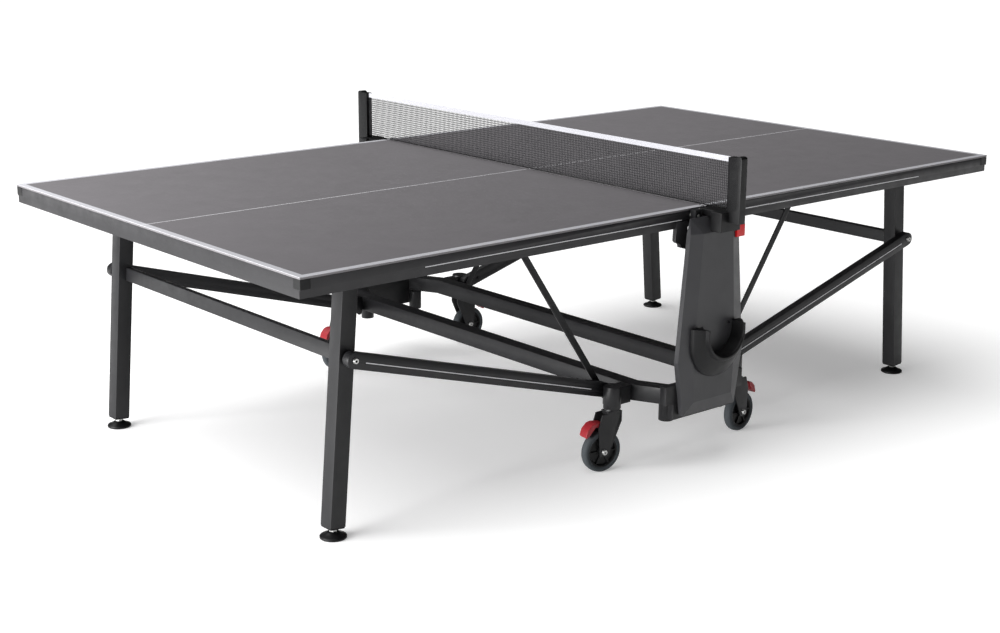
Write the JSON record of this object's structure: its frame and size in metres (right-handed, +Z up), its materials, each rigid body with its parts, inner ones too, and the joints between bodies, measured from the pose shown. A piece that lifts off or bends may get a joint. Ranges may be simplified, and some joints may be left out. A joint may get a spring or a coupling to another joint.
{
  "type": "ping pong table",
  "caption": "Wheeled folding table-tennis table: two hinged halves on folding leg frames, slim side towers with ball holders, and a net between posts.",
  "frame": {"origin": "on the floor under the middle of the net", "axes": "+X along the table's length towards the right half, +Y across it towards the far side, +Z up"},
  "size_m": [2.74, 1.812, 0.917],
  "materials": {
    "playing_surface": "matt grey weatherproof laminate",
    "apron_steel": "dark grey powder coat",
    "black_steel": "anthracite powder coat",
    "zinc_steel": "zinc plated",
    "tower_plastic": "grey moulded plastic, fine texture",
    "black_plastic": "black moulded plastic",
    "red_plastic": "red moulded plastic",
    "castor_tyre": "grey soft tyre",
    "net_cord": "grey knotted cord",
    "tape_white": "white woven tape"
  },
  "bodies": {
    "undercarriage": {"left_cross_tube": "black_steel", "right_cross_tube": "black_steel", "near_left_castor_socket": "black_steel", "near_right_castor_socket": "black_steel", "far_left_castor_socket": "black_steel", "far_right_castor_socket": "black_steel", "near_tower_frame": "black_steel", "near_tower_cover": "tower_plastic", "near_ball_holder": "black_plastic", "near_net_bracket": "black_plastic", "near_net_post": "black_plastic", "far_tower_frame": "black_steel", "far_tower_cover": "tower_plastic", "far_ball_holder": "black_plastic", "far_net_bracket": "black_plastic", "far_net_post": "black_plastic", "net_mesh": "net_cord", "net_tape": "tape_white"},
    "left_carriage": {"left_axle": "zinc_steel", "near_left_guide_shoe": "black_plastic", "far_left_guide_shoe": "black_plastic"},
    "left_table_half": {"left_playing_top": "playing_surface", "left_apron_frame": "apron_steel"},
    "left_leg_frame": {"near_left_leg": "black_steel", "far_left_leg": "black_steel", "left_leg_crossbar": "black_steel"},
    "near_left_levelling_foot": {"near_left_foot": "black_plastic"},
    "near_left_strut_arm": {"near_left_strut": "black_steel"},
    "near_left_link_bar": {"near_left_link": "black_steel"},
    "far_left_levelling_foot": {"far_left_foot": "black_plastic"},
    "far_left_strut_arm": {"far_left_strut": "black_steel"},
    "far_left_link_bar": {"far_left_link": "black_steel"},
    "right_carriage": {"right_axle": "zinc_steel", "near_right_guide_shoe": "black_plastic", "far_right_guide_shoe": "black_plastic"},
    "right_table_half": {"right_playing_top": "playing_surface", "right_apron_frame": "apron_steel"},
    "right_leg_frame": {"near_right_leg": "black_steel", "far_right_leg": "black_steel", "right_leg_crossbar": "black_steel"},
    "near_right_levelling_foot": {"near_right_foot": "black_plastic"},
    "near_right_strut_arm": {"near_right_strut": "black_steel"},
    "near_right_link_bar": {"near_right_link": "black_steel"},
    "far_right_levelling_foot": {"far_right_foot": "black_plastic"},
    "far_right_strut_arm": {"far_right_strut": "black_steel"},
    "far_right_link_bar": {"far_right_link": "black_steel"},
    "near_left_castor": {"near_left_castor_fork": "black_steel"},
    "near_left_castor_wheel": {"near_left_wheel": "castor_tyre"},
    "near_left_castor_brake": {"near_left_brake_pedal": "red_plastic"},
    "near_right_castor": {"near_right_castor_fork": "black_steel"},
    "near_right_castor_wheel": {"near_right_wheel": "castor_tyre"},
    "near_right_castor_brake": {"near_right_brake_pedal": "red_plastic"},
    "far_left_castor": {"far_left_castor_fork": "black_steel"},
    "far_left_castor_wheel": {"far_left_wheel": "castor_tyre"},
    "far_left_castor_brake": {"far_left_brake_pedal": "red_plastic"},
    "far_right_castor": {"far_right_castor_fork": "black_steel"},
    "far_right_castor_wheel": {"far_right_wheel": "castor_tyre"},
    "far_right_castor_brake": {"far_right_brake_pedal": "red_plastic"},
    "near_lever": {"near_release_lever": "red_plastic"},
    "far_lever": {"far_release_lever": "red_plastic"}
  },
  "joints": [
    {"name": "left_carriage_slide", "type": "slide", "parent": "undercarriage", "child": "left_carriage", "axis": [0, 0, -1], "range_m": [0, 0.4675]},
    {"name": "left_fold", "type": "hinge", "parent": "left_carriage", "child": "left_table_half", "pos_m": [-0.05, 0, 0.74], "axis": [0, 1, 0], "range_deg": [0, 90]},
    {"name": "left_leg_fold", "type": "hinge", "parent": "left_table_half", "child": "left_leg_frame", "pos_m": [-1.115, 0, 0.69], "axis": [0, -1, 0], "range_deg": [0, 90.4]},
    {"name": "near_left_foot_screw", "type": "slide", "parent": "left_leg_frame", "child": "near_left_levelling_foot", "axis": [-0.0837, 0, -0.9965], "range_m": [0, 0.012]},
    {"name": "near_left_strut_pivot", "type": "hinge", "parent": "undercarriage", "child": "near_left_strut_arm", "pos_m": [-0.255, -0.6285, 0.232], "axis": [0, 1, 0], "range_deg": [0, 83]},
    {"name": "near_left_link_pivot", "type": "hinge", "parent": "left_table_half", "child": "near_left_link_bar", "pos_m": [-0.583, -0.6105, 0.719], "axis": [0, -1, 0], "range_deg": [0, 41]},
    {"name": "far_left_foot_screw", "type": "slide", "parent": "left_leg_frame", "child": "far_left_levelling_foot", "axis": [-0.0837, 0, -0.9965], "range_m": [0, 0.012]},
    {"name": "far_left_strut_pivot", "type": "hinge", "parent": "undercarriage", "child": "far_left_strut_arm", "pos_m": [-0.255, 0.6285, 0.232], "axis": [0, 1, 0], "range_deg": [0, 83]},
    {"name": "far_left_link_pivot", "type": "hinge", "parent": "left_table_half", "child": "far_left_link_bar", "pos_m": [-0.583, 0.6105, 0.719], "axis": [0, -1, 0], "range_deg": [0, 41]},
    {"name": "right_carriage_slide", "type": "slide", "parent": "undercarriage", "child": "right_carriage", "axis": [0, 0, -1], "range_m": [0, 0.4675]},
    {"name": "right_fold", "type": "hinge", "parent": "right_carriage", "child": "right_table_half", "pos_m": [0.05, 0, 0.74], "axis": [0, -1, 0], "range_deg": [0, 90]},
    {"name": "right_leg_fold", "type": "hinge", "parent": "right_table_half", "child": "right_leg_frame", "pos_m": [1.115, 0, 0.69], "axis": [0, 1, 0], "range_deg": [0, 90.4]},
    {"name": "near_right_foot_screw", "type": "slide", "parent": "right_leg_frame", "child": "near_right_levelling_foot", "axis": [0.0837, 0, -0.9965], "range_m": [0, 0.012]},
    {"name": "near_right_strut_pivot", "type": "hinge", "parent": "undercarriage", "child": "near_right_strut_arm", "pos_m": [0.255, -0.6285, 0.232], "axis": [0, -1, 0], "range_deg": [0, 83]},
    {"name": "near_right_link_pivot", "type": "hinge", "parent": "right_table_half", "child": "near_right_link_bar", "pos_m": [0.583, -0.6105, 0.719], "axis": [0, 1, 0], "range_deg": [0, 41]},
    {"name": "far_right_foot_screw", "type": "slide", "parent": "right_leg_frame", "child": "far_right_levelling_foot", "axis": [0.0837, 0, -0.9965], "range_m": [0, 0.012]},
    {"name": "far_right_strut_pivot", "type": "hinge", "parent": "undercarriage", "child": "far_right_strut_arm", "pos_m": [0.255, 0.6285, 0.232], "axis": [0, -1, 0], "range_deg": [0, 83]},
    {"name": "far_right_link_pivot", "type": "hinge", "parent": "right_table_half", "child": "far_right_link_bar", "pos_m": [0.583, 0.6105, 0.719], "axis": [0, 1, 0], "range_deg": [0, 41]},
    {"name": "near_left_castor_swivel", "type": "hinge", "parent": "undercarriage", "child": "near_left_castor", "pos_m": [-0.256, -0.668, 0.18], "axis": [0, 0, 1], "continuous": true},
    {"name": "near_left_wheel_spin", "type": "hinge", "parent": "near_left_castor", "child": "near_left_castor_wheel", "pos_m": [-0.29145, -0.66175, 0.0625], "axis": [0.1736, 0.9848, 0], "continuous": true},
    {"name": "near_left_brake_press", "type": "hinge", "parent": "near_left_castor", "child": "near_left_castor_brake", "pos_m": [-0.29835, -0.66053, 0.146], "axis": [-0.1736, -0.9848, 0], "range_deg": [0, 12]},
    {"name": "near_right_castor_swivel", "type": "hinge", "parent": "undercarriage", "child": "near_right_castor", "pos_m": [0.256, -0.668, 0.18], "axis": [0, 0, 1], "continuous": true},
    {"name": "near_right_wheel_spin", "type": "hinge", "parent": "near_right_castor", "child": "near_right_castor_wheel", "pos_m": [0.2918, -0.66424, 0.0625], "axis": [0.1045, -0.9945, 0], "continuous": true},
    {"name": "near_right_brake_press", "type": "hinge", "parent": "near_right_castor", "child": "near_right_castor_brake", "pos_m": [0.29876, -0.66351, 0.146], "axis": [-0.1045, 0.9945, 0], "range_deg": [0, 12]},
    {"name": "far_left_castor_swivel", "type": "hinge", "parent": "undercarriage", "child": "far_left_castor", "pos_m": [-0.256, 0.668, 0.18], "axis": [0, 0, 1], "continuous": true},
    {"name": "far_left_wheel_spin", "type": "hinge", "parent": "far_left_castor", "child": "far_left_castor_wheel", "pos_m": [-0.2918, 0.66424, 0.0625], "axis": [-0.1045, 0.9945, 0], "continuous": true},
    {"name": "far_left_brake_press", "type": "hinge", "parent": "far_left_castor", "child": "far_left_castor_brake", "pos_m": [-0.29876, 0.66351, 0.146], "axis": [0.1045, -0.9945, 0], "range_deg": [0, 12]},
    {"name": "far_right_castor_swivel", "type": "hinge", "parent": "undercarriage", "child": "far_right_castor", "pos_m": [0.256, 0.668, 0.18], "axis": [0, 0, 1], "continuous": true},
    {"name": "far_right_wheel_spin", "type": "hinge", "parent": "far_right_castor", "child": "far_right_castor_wheel", "pos_m": [0.29191, 0.66549, 0.0625], "axis": [-0.0698, -0.9976, 0], "continuous": true},
    {"name": "far_right_brake_press", "type": "hinge", "parent": "far_right_castor", "child": "far_right_castor_brake", "pos_m": [0.2989, 0.665, 0.146], "axis": [0.0698, 0.9976, 0], "range_deg": [0, 12]},
    {"name": "near_release_pull", "type": "hinge", "parent": "undercarriage", "child": "near_lever", "pos_m": [0.092, -0.797, 0.698], "axis": [-1, 0, 0], "range_deg": [0, 25], "stiffness_Nm_per_rad": 0.3},
    {"name": "far_release_pull", "type": "hinge", "parent": "undercarriage", "child": "far_lever", "pos_m": [-0.092, 0.797, 0.698], "axis": [1, 0, 0], "range_deg": [0, 25], "stiffness_Nm_per_rad": 0.3}
  ],
  "couplings": [
    {"joint": "left_carriage_slide", "follows": "left_fold", "m_per_rad": 0.2973},
    {"joint": "left_leg_fold", "follows": "left_fold", "ratio": 1.0035},
    {"joint": "near_left_strut_pivot", "follows": "left_fold", "ratio": 0.91811},
    {"joint": "near_left_link_pivot", "follows": "left_fold", "ratio": 0.45333},
    {"joint": "far_left_strut_pivot", "follows": "left_fold", "ratio": 0.91811},
    {"joint": "far_left_link_pivot", "follows": "left_fold", "ratio": 0.45333},
    {"joint": "right_carriage_slide", "follows": "right_fold", "m_per_rad": 0.2973},
    {"joint": "right_leg_fold", "follows": "right_fold", "ratio": 1.0035},
    {"joint": "near_right_strut_pivot", "follows": "right_fold", "ratio": 0.91811},
    {"joint": "near_right_link_pivot", "follows": "right_fold", "ratio": 0.45333},
    {"joint": "far_right_strut_pivot", "follows": "right_fold", "ratio": 0.91811},
    {"joint": "far_right_link_pivot", "follows": "right_fold", "ratio": 0.45333}
  ]
}
